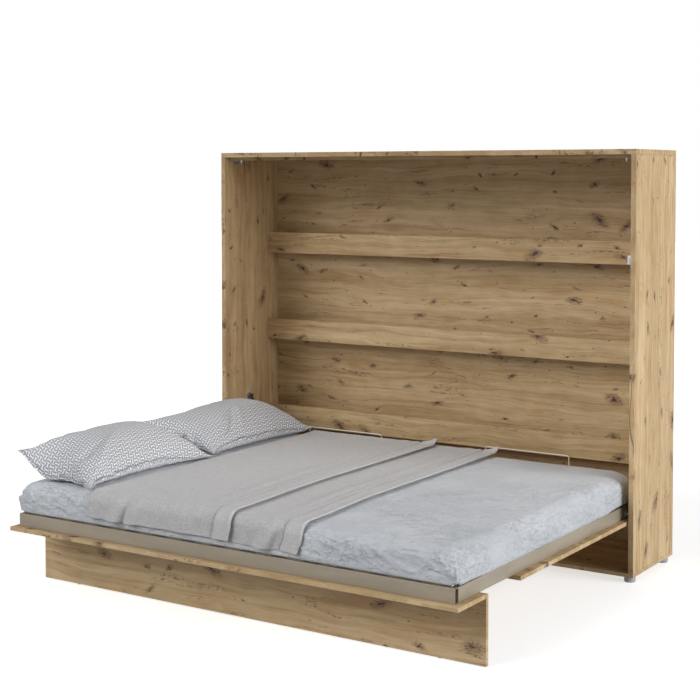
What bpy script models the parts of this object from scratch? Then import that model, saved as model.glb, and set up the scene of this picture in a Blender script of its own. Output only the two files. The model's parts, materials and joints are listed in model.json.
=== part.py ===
"""A wall bed that folds sideways into an oak cabinet, made up with its mattress, cloths and pillows.

Lengths are in metres and +Z is up. Every position below is given from the middle of the
cabinet's front plane at floor level: x to the right, y into the cabinet, z up. The empty
cabinet_front carries that plane, so that the whole model stands centred on the world origin.
"""

import math
from collections import namedtuple

import bmesh
import bpy
from mathutils import Vector

GAP = 0.0003  # between pieces that touch
BOARD = 0.016  # thickness of the thinner boards
EDGE = 0.0008  # rounding of a board's edges
STEEL = 0.003  # thickness of bent steel fittings

# Cabinet
CABINET_WIDTH = 2.130
CABINET_HEIGHT = 1.789
CABINET_DEPTH = 0.451
THICK_BOARD = 0.022
INNER_X = CABINET_WIDTH / 2 - THICK_BOARD
FOOT_HEIGHT = 0.0264
FOOT_RADIUS = 0.024
FOOT_INSET = (0.030, 0.042)
FLOOR_TOP = FOOT_HEIGHT + BOARD
CEILING = CABINET_HEIGHT - THICK_BOARD
RAIL_Y = 0.349
RAIL_HEIGHT = 0.102
RAIL_CENTRES = (0.4755, 0.909, 1.344)
FLOOR_RAIL_TOP = 0.069
STRIP_Y = 0.036
STRIP_HEIGHT = 0.014

# Folding bed, lying open
BED_REACH = 1.435
BED_HALF_WIDTH = 1.0357
BOARD_TOP = 0.2566
FRONT_BOARD_DEPTH = 0.1935
REAR_BOARD_FRONT = -0.9755
REAR_BOARD_BACK = 0.279
PIVOT = (0.053, 0.276)
PIN_RADIUS = 0.008

# Steel frame of rectangular tube, and its slats
FRAME_HALF_WIDTH = 1.008
FRAME_FRONT = -1.409
FRAME_BACK = 0.211
FRAME_TOP = 0.310
TUBE_WIDTH = 0.025
TUBE_WALL = 0.002
SLAT_THICKNESS = 0.0072
SLAT_WIDTH = 0.070
SLAT_PITCH = 0.140
SLATS_A_SIDE = 7
TAPE_WIDTH = 0.030
TAPE_THICKNESS = 0.0015
HOOP_WIRE = 0.0025
HOOP_TOP = 0.463
HOOP_SPAN = (0.276, 0.684)

# Leg panel, which hangs upright at every position of the bed
LEG_TOP = 0.255
LEG_HINGE = (-1.2295, 0.247)
LEG_ROUNDING = 0.005
LEG_ARM_X = 0.9812
LEG_PIN_RADIUS = 0.003
GLIDE_HEIGHT = 0.003

# Gas struts, upright while the bed is open
STRUT_X = 1.026
STRUT_TOP = (0.193, 0.585)
STRUT_LENGTH = 0.305
STRUT_TUBE_RADIUS = 0.009
STRUT_ROD_RADIUS = 0.004

# Catches
CATCH_Y = 0.070
CATCH_X = 0.9955
PLUNGER_RADIUS = 0.004

# Bedding
MATTRESS_LOW = (-1.012, -1.403, 0.3192)
MATTRESS_HIGH = (1.012, 0.196, 0.440)
MATTRESS_ROUNDING = 0.028
CLOTH = 0.002
CLOTH_HEM = 0.3400
CLOTH_BACK = 0.165
UPPER_CLOTH_X = (-0.640, 0.075)
LOWER_CLOTH_X = (-0.610, 0.385)
PILLOW_HEIGHT = 0.170
PILLOW_ROUNDING = 0.070

FRONT_Y = (BED_REACH - CABINET_DEPTH) / 2  # centres the open bed on the origin
ROUND_STEPS = 24

LOOKS = {  # colour, roughness, metallic
    "oak": ((0.58, 0.40, 0.22), 0.55, 0.0),
    "frame_paint": ((0.42, 0.37, 0.30), 0.45, 0.2),
    "zinc": ((0.62, 0.63, 0.65), 0.35, 1.0),
    "dark_steel": ((0.05, 0.05, 0.055), 0.40, 0.8),
    "cream_wire": ((0.75, 0.72, 0.64), 0.40, 0.0),
    "grey_plastic": ((0.45, 0.46, 0.48), 0.50, 0.0),
    "rubber": ((0.04, 0.04, 0.04), 0.80, 0.0),
    "birch": ((0.76, 0.62, 0.43), 0.60, 0.0),
    "sheet": ((0.78, 0.81, 0.85), 0.90, 0.0),
    "linen": ((0.48, 0.48, 0.49), 0.95, 0.0),
    "pillowcase": ((0.55, 0.56, 0.60), 0.90, 0.0),
}

Body = namedtuple("Body", "empty at")


# ---------------------------------------------------------------- scene and placing

def clear_scene():
    for old in list(bpy.data.objects):
        bpy.data.objects.remove(old, do_unlink=True)


def add_collection(name):
    collection = bpy.data.collections.new(name)
    bpy.context.scene.collection.children.link(collection)
    return collection


def add_body(name, at, parent=None):
    """An empty on a joint's axis, or on the cabinet's front plane, that carries a body's pieces."""
    empty = bpy.data.objects.new(name, None)
    PARTS.objects.link(empty)
    origin = Vector(at)
    if parent is None:
        empty.location = (0.0, FRONT_Y, 0.0)
    else:
        empty.parent = parent.empty
        empty.location = origin - parent.at
    return Body(empty, origin)


def add_material(name, look):
    colour, roughness, metallic = LOOKS[look]
    material = bpy.data.materials.new(name)
    material.use_nodes = True
    shader = material.node_tree.nodes["Principled BSDF"]
    shader.inputs["Base Color"].default_value = (*colour, 1.0)
    shader.inputs["Roughness"].default_value = roughness
    shader.inputs["Metallic"].default_value = metallic
    material.diffuse_color = (*colour, 1.0)
    return material


def place(obj, body, centre, rotation=(0.0, 0.0, 0.0)):
    obj.parent = body.empty
    obj.location = Vector(centre) - body.at
    obj.rotation_euler = rotation


def add_piece(name, data, look, body, centre, rotation=(0.0, 0.0, 0.0)):
    obj = bpy.data.objects.new(name, data)
    PARTS.objects.link(obj)
    data.materials.append(add_material(name, look))
    place(obj, body, centre, rotation)
    return obj


def add_tool(name, data, body, centre, rotation=(0.0, 0.0, 0.0)):
    """A shape that is only cut from, or joined to, a piece."""
    obj = bpy.data.objects.new(name, data)
    CUTTERS.objects.link(obj)
    obj.hide_render = True
    obj.display_type = "WIRE"
    place(obj, body, centre, rotation)
    return obj


# ---------------------------------------------------------------- shapes

def box_mesh(name, size):
    mesh = bpy.data.meshes.new(name)
    bm = bmesh.new()
    bmesh.ops.create_cube(bm, size=1.0)
    bmesh.ops.scale(bm, vec=size, verts=bm.verts)
    bm.to_mesh(mesh)
    bm.free()
    return mesh


def rod_mesh(name, radius, length):
    """A round rod along its own Z."""
    mesh = bpy.data.meshes.new(name)
    bm = bmesh.new()
    bmesh.ops.create_cone(
        bm, cap_ends=True, segments=ROUND_STEPS, radius1=radius, radius2=radius, depth=length
    )
    bm.to_mesh(mesh)
    bm.free()
    mesh.shade_smooth()
    mesh.set_sharp_from_angle(angle=math.radians(40))
    return mesh


def span(low, high):
    """The size and centre of the box between two corners."""
    low, high = Vector(low), Vector(high)
    return high - low, (low + high) / 2


def bevel(obj, width, segments=2):
    modifier = obj.modifiers.new("rounded_edges", "BEVEL")
    modifier.width = width
    modifier.segments = segments
    modifier.limit_method = "ANGLE"
    modifier.angle_limit = math.radians(60)


def add_box(name, low, high, look, body, rounding=EDGE, segments=2):
    size, centre = span(low, high)
    obj = add_piece(name, box_mesh(name, size), look, body, centre)
    bevel(obj, rounding, segments)
    return obj


def box_tool(name, low, high, body):
    size, centre = span(low, high)
    return add_tool(name, box_mesh(name, size), body, centre)


def combine(obj, tool, operation):
    modifier = obj.modifiers.new(tool.name, "BOOLEAN")
    modifier.operation = operation
    modifier.object = tool


def profile_mesh(name, points, closed):
    """Edges through (radius, height) points in the XZ plane, down the outer side."""
    mesh = bpy.data.meshes.new(name)
    last = len(points) - 1
    edges = [(i, i + 1) for i in range(last)]
    if closed:
        edges.append((last, 0))
    mesh.from_pydata([(radius, 0.0, height) for radius, height in points], edges, [])
    return mesh


def spin(obj):
    modifier = obj.modifiers.new("turned", "SCREW")
    modifier.steps = ROUND_STEPS
    modifier.render_steps = ROUND_STEPS
    modifier.use_merge_vertices = True
    modifier.merge_threshold = 0.00001
    modifier.use_smooth_shade = False


def add_turned(name, points, look, body, centre, rotation=(0.0, 0.0, 0.0), closed=False):
    obj = add_piece(name, profile_mesh(name, points, closed), look, body, centre, rotation)
    spin(obj)
    return obj


def arc(centre, radius, start, end, steps):
    """Points on an arc, angles in degrees."""
    angles = [math.radians(start + (end - start) * i / steps) for i in range(steps + 1)]
    return [(centre[0] + radius * math.cos(a), centre[1] + radius * math.sin(a)) for a in angles]


def outline_curve(name, outlines, thickness):
    curve = bpy.data.curves.new(name, "CURVE")
    curve.dimensions = "2D"
    curve.fill_mode = "BOTH"
    curve.extrude = thickness / 2
    for outline in outlines:
        spline = curve.splines.new("POLY")
        spline.points.add(len(outline) - 1)
        spline.use_cyclic_u = True
        for point, (u, v) in zip(spline.points, outline):
            point.co = (u, v, 0.0, 1.0)
    return curve


def add_side_profile(name, outlines, x_low, x_high, look, body):
    """A (y, z) outline carried from x_low to x_high."""
    curve = outline_curve(name, outlines, x_high - x_low)
    rotation = (math.pi / 2, 0.0, math.pi / 2)
    return add_piece(name, curve, look, body, ((x_low + x_high) / 2, 0.0, 0.0), rotation)


def inward(side):
    """Rotation that turns a fitting's own Z from a side panel towards the bed; side is -1 or 1."""
    return (0.0, -side * math.pi / 2, 0.0)


def both_sides():
    return (("left", -1), ("right", 1))


def mirrored(side, x_a, x_b):
    """Two distances from the middle as an ordered pair of x on one side."""
    return tuple(sorted((side * x_a, side * x_b)))


# ---------------------------------------------------------------- cabinet

def make_cabinet_boards(body):
    half = CABINET_WIDTH / 2
    for word, side in both_sides():
        low, high = mirrored(side, INNER_X, half)
        add_box(f"side_panel_{word}", (low, 0.0, FLOOR_TOP + GAP),
                (high, CABINET_DEPTH, CEILING - GAP), "oak", body)
    add_box("top_panel", (-half, 0.0, CEILING), (half, CABINET_DEPTH, CABINET_HEIGHT), "oak", body)
    add_box("bottom_panel", (-half, 0.0, FOOT_HEIGHT), (half, CABINET_DEPTH, FLOOR_TOP), "oak", body)
    inner = INNER_X - GAP
    seams = (FLOOR_TOP, *RAIL_CENTRES, CEILING)
    for number, (low, high) in enumerate(zip(seams, seams[1:]), start=1):
        add_box(f"back_board_{number}", (-inner, CABINET_DEPTH - BOARD, low + GAP),
                (inner, CABINET_DEPTH, high - GAP), "oak", body)
    for word, centre in zip(("lower", "middle", "upper"), RAIL_CENTRES):
        add_box(f"rear_rail_{word}", (-inner, RAIL_Y, centre - RAIL_HEIGHT / 2),
                (inner, RAIL_Y + BOARD, centre + RAIL_HEIGHT / 2), "oak", body)
    add_box("floor_rail", (-inner, RAIL_Y, FLOOR_TOP + GAP),
            (inner, RAIL_Y + BOARD, FLOOR_RAIL_TOP), "oak", body)
    add_box("stop_strip", (-inner, STRIP_Y, CEILING - GAP - STRIP_HEIGHT),
            (inner, STRIP_Y + BOARD, CEILING - GAP), "oak", body)


def make_feet(body):
    x_foot = CABINET_WIDTH / 2 - FOOT_INSET[0]
    y_back = CABINET_DEPTH - FOOT_INSET[1]
    places = {
        "front_left": (-x_foot, FOOT_INSET[1]),
        "front_middle": (0.0, FOOT_INSET[1]),
        "front_right": (x_foot, FOOT_INSET[1]),
        "back_left": (-x_foot, y_back),
        "back_right": (x_foot, y_back),
    }
    top = FOOT_HEIGHT - GAP
    chamfer = 0.0015
    points = [
        (0.0, top), (FOOT_RADIUS - chamfer, top), (FOOT_RADIUS, top - chamfer),
        (FOOT_RADIUS, chamfer), (FOOT_RADIUS - chamfer, 0.0), (0.0, 0.0),
    ]
    for word, (x, y) in places.items():
        add_turned(f"foot_{word}", points, "grey_plastic", body, (x, y, 0.0))


def make_bumpers(body):
    """Rubber dots on the stop strip, which the closed front board meets."""
    radius, thickness, x = 0.006, 0.002, 0.60
    points = [(0.0, thickness), (radius - 0.001, thickness), (radius, 0.0), (0.0, 0.0)]
    z = CEILING - GAP - STRIP_HEIGHT / 2
    towards_front = (math.pi / 2, 0.0, 0.0)
    for word, side in both_sides():
        add_turned(f"bumper_{word}", points, "rubber", body,
                   (side * x, STRIP_Y - GAP, z), towards_front)


def make_catch(word, side, cabinet):
    """An angle bracket in the upper corner, with a sprung plunger that presses on the bed frame."""
    reach = 0.984
    y_front, y_back = 0.056, 0.134
    bottom, top = 1.734, CEILING - STEEL
    wall = INNER_X - GAP
    low, high = mirrored(side, wall - STEEL, wall)
    bracket = add_box(f"catch_bracket_{word}", (low, y_front, bottom), (high, y_back, top),
                      "zinc", cabinet, 0.0005, 1)
    low, high = mirrored(side, reach, wall - STEEL / 2)
    shelf = box_tool(f"catch_shelf_{word}", (low, y_front, top - STEEL),
                     (high, y_front + 0.028, top), cabinet)
    combine(bracket, shelf, "UNION")
    housing_bottom, bore_top = 1.745, 1.7595
    housing_length = top - STEEL / 2 - housing_bottom
    housing = add_tool(f"catch_housing_{word}", rod_mesh("catch_housing", 0.007, housing_length),
                       cabinet, (side * CATCH_X, CATCH_Y, housing_bottom + housing_length / 2))
    combine(bracket, housing, "UNION")
    bore = add_tool(f"catch_bore_{word}", rod_mesh("catch_bore", PLUNGER_RADIUS + 0.0002, 0.03),
                    cabinet, (side * CATCH_X, CATCH_Y, bore_top - 0.015))
    combine(bracket, bore, "DIFFERENCE")
    tip, length = 1.7388, 0.0135
    body = add_body(f"catch_slide_{word}", (side * CATCH_X, CATCH_Y, tip), cabinet)
    dome = arc((0.0, PLUNGER_RADIUS), PLUNGER_RADIUS, 0, -90, 6)
    points = [(0.0, length), (PLUNGER_RADIUS, length), *dome[:-1], (0.0, 0.0)]
    add_turned(f"catch_plunger_{word}", points, "zinc", body, body.at)


def make_leg_catch(body):
    """A drilled angle on the right side panel, which the folded leg panel rests against."""
    bottom, top = 1.316, 1.351
    y_front = STRIP_Y
    wall = INNER_X - GAP
    plate = add_box("leg_catch_plate", (wall - 0.027, y_front, bottom), (wall, y_front + 0.002, top),
                    "zinc", body, 0.0004, 1)
    flange = box_tool("leg_catch_flange", (wall - 0.002, y_front + 0.001, bottom),
                      (wall, y_front + 0.030, top), body)
    combine(plate, flange, "UNION")
    for number, z in enumerate((bottom + 0.010, top - 0.010)):
        hole = add_tool(f"leg_catch_hole_{number}", rod_mesh("leg_catch_hole", 0.0025, 0.01), body,
                        (wall - 0.018, y_front, z), (math.pi / 2, 0.0, 0.0))
        combine(plate, hole, "DIFFERENCE")


def make_pivot_bracket(word, side, body):
    """A round flange on the side panel with the pin that the bed turns on."""
    flange, boss, pin_end = 0.004, 0.006, 0.066
    points = [
        (0.0, pin_end), (PIN_RADIUS - 0.001, pin_end), (PIN_RADIUS, pin_end - 0.001),
        (PIN_RADIUS, boss), (0.012, boss), (0.013, flange), (0.032, flange), (0.032, 0.0), (0.0, 0.0),
    ]
    add_turned(f"pivot_bracket_{word}", points, "zinc", body,
               (side * (INNER_X - GAP), *PIVOT), inward(side))


def make_strut_bracket(word, side, body):
    """A round flange with the headed stud that holds the strut's upper eye."""
    flange, neck, head = 0.003, 0.0245, 0.0275
    points = [
        (0.0, head), (0.006, head), (0.006, neck), (0.004, neck), (0.004, flange + 0.003),
        (0.009, flange + 0.002), (0.009, flange), (0.018, flange), (0.018, 0.0), (0.0, 0.0),
    ]
    add_turned(f"strut_bracket_{word}", points, "zinc", body,
               (side * (INNER_X - GAP), *STRUT_TOP), inward(side))


# ---------------------------------------------------------------- folding bed

def add_tube(name, low, high, axis, look, body):
    """A rectangular steel tube, open at both ends, along x (0) or y (1)."""
    tube = add_box(name, low, high, look, body, 0.0015, 2)
    low, high = Vector(low), Vector(high)
    wall = Vector((TUBE_WALL, TUBE_WALL, TUBE_WALL))
    wall[axis] = -0.01
    combine(tube, box_tool(f"{name}_hollow", low + wall, high - wall, body), "DIFFERENCE")
    return tube


def make_boards(body):
    front_low = (-BED_HALF_WIDTH, -BED_REACH, BOARD_TOP - BOARD)
    front_high = (BED_HALF_WIDTH, FRONT_BOARD_DEPTH - BED_REACH, BOARD_TOP)
    add_box("front_board", front_low, front_high, "oak", body)
    rear_low = (-BED_HALF_WIDTH, REAR_BOARD_FRONT, BOARD_TOP - BOARD)
    add_box("rear_board", rear_low, (BED_HALF_WIDTH, REAR_BOARD_BACK, BOARD_TOP), "oak", body)


def make_frame(body):
    bottom = BOARD_TOP + GAP
    x = FRAME_HALF_WIDTH
    inner_front = FRAME_FRONT + TUBE_WIDTH
    inner_back = FRAME_BACK - TUBE_WIDTH
    bush_hole = 0.0113
    add_tube("frame_rail_front", (-x, FRAME_FRONT, bottom), (x, inner_front, FRAME_TOP),
             0, "frame_paint", body)
    add_tube("frame_rail_back", (-x, inner_back, bottom), (x, FRAME_BACK, FRAME_TOP),
             0, "frame_paint", body)
    for word, side in both_sides():
        low, high = mirrored(side, x - TUBE_WIDTH, x)
        tube = add_tube(f"frame_side_{word}", (low, inner_front + GAP, bottom),
                        (high, inner_back - GAP, FRAME_TOP), 1, "frame_paint", body)
        hole = add_tool(f"pivot_hole_{word}", rod_mesh("pivot_hole", bush_hole, 0.06), body,
                        (side * (x - TUBE_WIDTH / 2), *PIVOT), inward(side))
        combine(tube, hole, "DIFFERENCE")
    beam_y = -0.60
    beam_half = TUBE_WIDTH / 2
    add_tube("frame_beam", (GAP + TUBE_WIDTH - x, beam_y - beam_half, bottom),
             (x - TUBE_WIDTH - GAP, beam_y + beam_half, FRAME_TOP), 0, "frame_paint", body)


def make_pivot_bush(word, side, body):
    """A flanged nylon bush, fixed in the frame's side tube and free on the pin."""
    bore, shell, flange, thickness = PIN_RADIUS + 0.0003, 0.011, 0.0145, 0.0025
    points = [
        (flange, 0.0), (flange, -thickness), (bore, -thickness), (bore, TUBE_WIDTH), (shell, TUBE_WIDTH),
        (shell, 0.0),
    ]
    start = side * (FRAME_HALF_WIDTH + GAP)
    add_turned(f"pivot_bush_{word}", points, "grey_plastic", body, (start, *PIVOT), inward(side),
               closed=True)


def make_strut_stud(word, side, body):
    """A short stud on the frame; it stops just clear of the strut's lower eye."""
    length = STRUT_X - 0.0075 - FRAME_HALF_WIDTH - GAP
    points = [
        (0.0, length), (0.004, length), (0.004, 0.003), (0.010, 0.0025), (0.010, 0.0), (0.0, 0.0),
    ]
    stud_x = side * (FRAME_HALF_WIDTH + GAP)
    outward = inward(-side)
    add_turned(f"strut_stud_{word}", points, "zinc", body,
               (stud_x, STRUT_TOP[0], STRUT_TOP[1] - STRUT_LENGTH), outward)


def make_slat_mat(word, side, body):
    """Sprung slats stapled to fabric tapes, rolled out over the frame as one mat."""
    bottom = FRAME_TOP + GAP
    y_low, y_high = FRAME_FRONT + 0.015, FRAME_BACK - 0.015
    size = Vector((SLAT_WIDTH, y_high - y_low, SLAT_THICKNESS))
    centre = Vector((side * SLAT_PITCH / 2, (y_low + y_high) / 2, bottom + SLAT_THICKNESS / 2))
    mat = add_piece(f"slat_mat_{word}", box_mesh("slat", size), "birch", body, centre)
    row = mat.modifiers.new("row_of_slats", "ARRAY")
    row.count = SLATS_A_SIDE
    row.use_relative_offset = False
    row.use_constant_offset = True
    row.constant_offset_displace = (side * SLAT_PITCH, 0.0, 0.0)
    x_low, x_high = mirrored(side, 0.040, SLAT_PITCH * (SLATS_A_SIDE - 0.5) + 0.030)
    tape_bottom = bottom + SLAT_THICKNESS - TAPE_THICKNESS / 3
    for number, share in enumerate((0.12, 0.5, 0.88)):
        y = y_low + share * (y_high - y_low)
        tape = box_tool(f"slat_tape_{word}_{number}", (x_low, y - TAPE_WIDTH / 2, tape_bottom),
                        (x_high, y + TAPE_WIDTH / 2, tape_bottom + TAPE_THICKNESS), body)
        combine(mat, tape, "UNION")


def make_hoop(word, side, body):
    """A wire hoop on the back rail that keeps the mattress on the bed."""
    y, bend = 0.2035, 0.012
    foot = FRAME_TOP + GAP
    top = HOOP_TOP - HOOP_WIRE
    x_low, x_high = mirrored(side, *HOOP_SPAN)
    path = [(x_low, foot), (x_low, (foot + top) / 2)]
    path += arc((x_low + bend, top - bend), bend, 180, 90, 6)
    path += [((x_low + x_high) / 2, top)]
    path += arc((x_high - bend, top - bend), bend, 90, 0, 6)
    path += [(x_high, (foot + top) / 2), (x_high, foot)]
    curve = bpy.data.curves.new(f"mattress_hoop_{word}", "CURVE")
    curve.dimensions = "3D"
    curve.bevel_depth = HOOP_WIRE
    curve.bevel_resolution = 2
    curve.use_fill_caps = True
    spline = curve.splines.new("POLY")
    spline.points.add(len(path) - 1)
    middle = Vector(((x_low + x_high) / 2, y, foot))
    for point, (x, z) in zip(spline.points, path):
        point.co = (x - middle.x, 0.0, z - middle.z, 1.0)
    add_piece(curve.name, curve, "cream_wire", body, middle)


# ---------------------------------------------------------------- leg

def rounded_leg_mesh(size):
    """A box whose two long top edges are rounded, so that it clears the bed as it turns."""
    mesh = box_mesh("leg_panel", size)
    bm = bmesh.new()
    bm.from_mesh(mesh)
    top_edges = [
        edge for edge in bm.edges
        if all(vert.co.z > 0 for vert in edge.verts)
        and abs(edge.verts[0].co.x - edge.verts[1].co.x) > size.x / 2
    ]
    bmesh.ops.bevel(bm, geom=top_edges, offset=LEG_ROUNDING, segments=4, profile=0.5,
                    affect="EDGES")
    bm.to_mesh(mesh)
    bm.free()
    return mesh


def make_leg(body):
    y = LEG_HINGE[0]
    size, centre = span((-BED_HALF_WIDTH, y - BOARD / 2, GLIDE_HEIGHT + GAP),
                        (BED_HALF_WIDTH, y + BOARD / 2, LEG_TOP))
    panel = add_piece("leg_panel", rounded_leg_mesh(size), "oak", body, centre)
    bevel(panel, EDGE, 1)
    slot_half, slot_drop, pin_length = 0.0025, 0.009, 0.036
    glide_x, glide_radius, chamfer = 0.85, 0.0075, 0.001
    for word, side in both_sides():
        x = side * LEG_ARM_X
        notch = box_tool(f"leg_notch_{word}", (x - slot_half, y - BOARD, LEG_HINGE[1] - slot_drop),
                         (x + slot_half, y + BOARD, LEG_TOP + 0.01), body)
        combine(panel, notch, "DIFFERENCE")
        bore = add_tool(f"leg_bore_{word}", rod_mesh("leg_bore", LEG_PIN_RADIUS + GAP, pin_length + 2 * GAP),
                        body, (x, *LEG_HINGE), inward(side))
        combine(panel, bore, "DIFFERENCE")
        pin = rod_mesh(f"leg_pin_{word}", LEG_PIN_RADIUS, pin_length)
        add_piece(f"leg_pin_{word}", pin, "zinc", body, (x, *LEG_HINGE), inward(side))
        add_turned(
            f"leg_glide_{word}",
            [(0.0, GLIDE_HEIGHT), (glide_radius, GLIDE_HEIGHT), (glide_radius, chamfer),
             (glide_radius - chamfer, 0.0), (0.0, 0.0)],
            "grey_plastic", body, (side * glide_x, y, 0.0),
        )


def make_leg_arm(word, side, body):
    """A steel arm on the frame's side tube that reaches down into the leg panel's notch."""
    y, z = LEG_HINGE
    radius, top = 0.007, 0.300
    outline = arc((y, z), radius, 180, 360, 12) + [(y + radius, top), (y - radius, top)]
    hole = arc((y, z), LEG_PIN_RADIUS + GAP, 360, 0, 16)[:-1]
    x_low, x_high = mirrored(side, LEG_ARM_X - STEEL / 2, LEG_ARM_X + STEEL / 2)
    add_side_profile(f"leg_arm_{word}", [outline, hole], x_low, x_high, "zinc", body)


# ---------------------------------------------------------------- gas struts

def add_eye(piece, name, width, radius, bore, body, centre):
    """Joins an eye that lies across the piece, and drills it."""
    across = (0.0, math.pi / 2, 0.0)
    ring = add_tool(f"{name}_ring", rod_mesh(f"{name}_ring", radius, width), body, centre, across)
    combine(piece, ring, "UNION")
    hole = add_tool(f"{name}_hole", rod_mesh(f"{name}_hole", bore, 2 * width), body, centre, across)
    combine(piece, hole, "DIFFERENCE")


def make_strut(word, side, cabinet):
    eye_width, eye_radius, eye_bore = 0.013, 0.010, 0.0043
    top = Vector((side * STRUT_X, *STRUT_TOP))
    swing = add_body(f"strut_swing_{word}", top, cabinet)
    tube_end, bore_start = -0.255, -0.030
    bore = STRUT_ROD_RADIUS + GAP
    outer = STRUT_TUBE_RADIUS
    points = [
        (0.0, -0.007), (outer - 0.003, -0.007), (outer, -0.014), (outer, tube_end + 0.003),
        (outer - 0.002, tube_end), (bore, tube_end), (bore, bore_start), (0.0, bore_start),
    ]
    cylinder = add_turned(f"strut_cylinder_{word}", points, "dark_steel", swing, top)
    add_eye(cylinder, f"strut_upper_eye_{word}", eye_width, eye_radius, eye_bore, swing, top)
    bottom = top + Vector((0.0, 0.0, -STRUT_LENGTH))
    slide = add_body(f"strut_slide_{word}", bottom, swing)
    rod_top = 0.265
    rod_points = [
        (0.0, rod_top), (STRUT_ROD_RADIUS, rod_top), (STRUT_ROD_RADIUS, 0.022),
        (0.0065, 0.020), (0.0065, 0.007), (0.0, 0.007),
    ]
    rod = add_turned(f"strut_rod_{word}", rod_points, "zinc", slide, bottom)
    add_eye(rod, f"strut_lower_eye_{word}", eye_width, eye_radius, eye_bore, slide, bottom)


# ---------------------------------------------------------------- bedding

def make_mattress(body):
    add_box("mattress", MATTRESS_LOW, MATTRESS_HIGH, "sheet", body, MATTRESS_ROUNDING, 5)


def make_cloth(name, x_span, lift, body):
    """A sheet of cloth over the mattress and down its front face; lift is its height above it."""
    edge_y, edge_z = MATTRESS_LOW[1], MATTRESS_HIGH[2]
    centre = (edge_y + MATTRESS_ROUNDING, edge_z - MATTRESS_ROUNDING)
    inner = MATTRESS_ROUNDING + lift
    outer = inner + CLOTH
    steps = 6
    outline = [(CLOTH_BACK, edge_z + lift + CLOTH)]
    outline += arc(centre, outer, 90, 180, steps)
    outline += [(edge_y - lift - CLOTH, CLOTH_HEM), (edge_y - lift, CLOTH_HEM)]
    outline += arc(centre, inner, 180, 90, steps)
    outline += [(CLOTH_BACK, edge_z + lift)]
    add_side_profile(name, [outline], *x_span, "linen", body)


def make_pillow(name, y_low, y_high, body):
    bottom = MATTRESS_HIGH[2] + 2 * CLOTH + 0.0012
    x_low, x_high = -1.008, -0.635
    add_box(name, (x_low, y_low, bottom), (x_high, y_high, bottom + PILLOW_HEIGHT), "pillowcase",
            body, PILLOW_ROUNDING, 5)


# ---------------------------------------------------------------- whole object

def make_wall_bed():
    cabinet = add_body("cabinet_front", (0.0, 0.0, 0.0))
    bed = add_body("bed_pivot", (0.0, *PIVOT), cabinet)
    leg = add_body("leg_pivot", (0.0, *LEG_HINGE), bed)
    make_cabinet_boards(cabinet)
    make_feet(cabinet)
    make_bumpers(cabinet)
    make_leg_catch(cabinet)
    make_boards(bed)
    make_frame(bed)
    make_leg(leg)
    for word, side in both_sides():
        make_catch(word, side, cabinet)
        make_pivot_bracket(word, side, cabinet)
        make_strut_bracket(word, side, cabinet)
        make_pivot_bush(word, side, bed)
        make_strut_stud(word, side, bed)
        make_slat_mat(word, side, bed)
        make_hoop(word, side, bed)
        make_leg_arm(word, side, bed)
        make_strut(word, side, cabinet)
    make_mattress(bed)
    make_cloth("cloth_lower", LOWER_CLOTH_X, GAP, bed)
    make_cloth("cloth_upper", UPPER_CLOTH_X, 2 * GAP + CLOTH, bed)
    make_pillow("pillow_front", -1.380, -0.620, bed)
    make_pillow("pillow_back", -0.590, 0.170, bed)


clear_scene()
PARTS = add_collection("wall_bed")
CUTTERS = add_collection("cutters")
make_wall_bed()
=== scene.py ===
"""The looks of the horizontal murphy wall bed: finishes on the CAD parts, and its bedding as real cloth.

Lengths are metres. X runs along the bed, Y from the room towards the wall, Z up.
"""
import json
import math

import bpy
import numpy as np
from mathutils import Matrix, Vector


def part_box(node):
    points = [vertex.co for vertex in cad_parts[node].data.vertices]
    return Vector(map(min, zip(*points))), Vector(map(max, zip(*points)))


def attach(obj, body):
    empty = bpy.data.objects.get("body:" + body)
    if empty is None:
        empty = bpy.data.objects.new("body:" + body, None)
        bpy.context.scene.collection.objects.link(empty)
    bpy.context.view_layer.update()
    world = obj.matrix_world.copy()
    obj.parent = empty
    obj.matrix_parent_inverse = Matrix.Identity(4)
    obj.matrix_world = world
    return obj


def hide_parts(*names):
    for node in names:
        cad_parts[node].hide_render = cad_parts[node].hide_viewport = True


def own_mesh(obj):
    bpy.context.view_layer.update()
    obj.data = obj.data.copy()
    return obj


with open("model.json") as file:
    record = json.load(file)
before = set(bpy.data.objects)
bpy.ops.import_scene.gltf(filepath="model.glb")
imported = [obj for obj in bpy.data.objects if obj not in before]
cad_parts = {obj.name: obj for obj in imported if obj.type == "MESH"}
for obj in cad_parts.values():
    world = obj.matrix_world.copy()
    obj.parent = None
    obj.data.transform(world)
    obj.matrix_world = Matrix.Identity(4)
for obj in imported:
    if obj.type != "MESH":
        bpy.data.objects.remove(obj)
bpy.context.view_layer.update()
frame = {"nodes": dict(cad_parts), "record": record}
SCENE = bpy.context.scene
NODES = frame["nodes"]

TAPE_SHARES, TAPE_WIDTH = (0.12, 0.5, 0.88), 0.030
THROW_HEM = 0.078


# ---------------------------------------------------------------- shader nodes

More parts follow.
